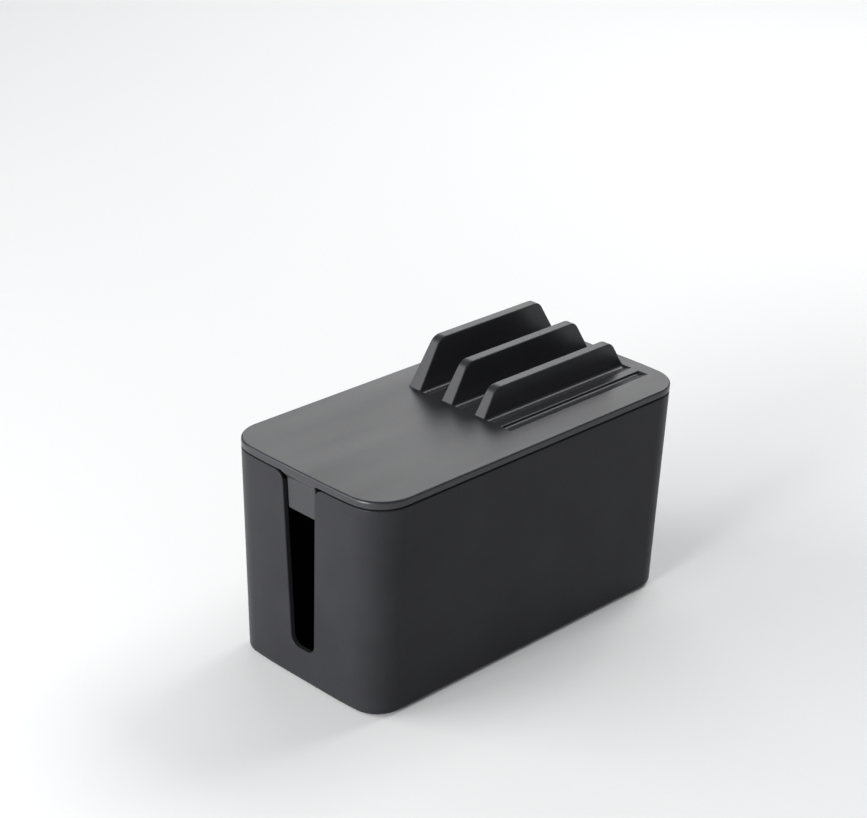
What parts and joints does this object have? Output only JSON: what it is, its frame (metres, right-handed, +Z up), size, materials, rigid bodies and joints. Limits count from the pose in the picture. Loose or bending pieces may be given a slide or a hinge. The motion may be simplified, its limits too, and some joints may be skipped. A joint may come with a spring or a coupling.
{
  "type": "cable management box",
  "caption": "Charcoal moulded cable box: a drafted bin with a cable slot in each end wall, and a lift-off lid with a flat charging area and upright fins that hold phones and tablets.",
  "frame": {"origin": "centre of the footprint, on the surface that the feet stand on", "axes": "+X along the box from the charging area to the fins, +Y across it from the front fin to the rear fin, +Z up"},
  "size_m": [0.236, 0.1156, 0.1526],
  "materials": {
    "bin_plastic": "fine moulded texture, charcoal",
    "lid_plastic": "fine moulded texture, charcoal",
    "foot_rubber": "plain black rubber"
  },
  "bodies": {
    "bin": {"box_body": "bin_plastic", "foot_front_left": "foot_rubber", "foot_front_right": "foot_rubber", "foot_rear_left": "foot_rubber", "foot_rear_right": "foot_rubber"},
    "lid": {"lid": "lid_plastic"}
  },
  "joints": [
    {"name": "lid_lift", "type": "slide", "parent": "bin", "child": "lid", "axis": [0, 0, 1], "range_m": [0, 0.09]}
  ]
}
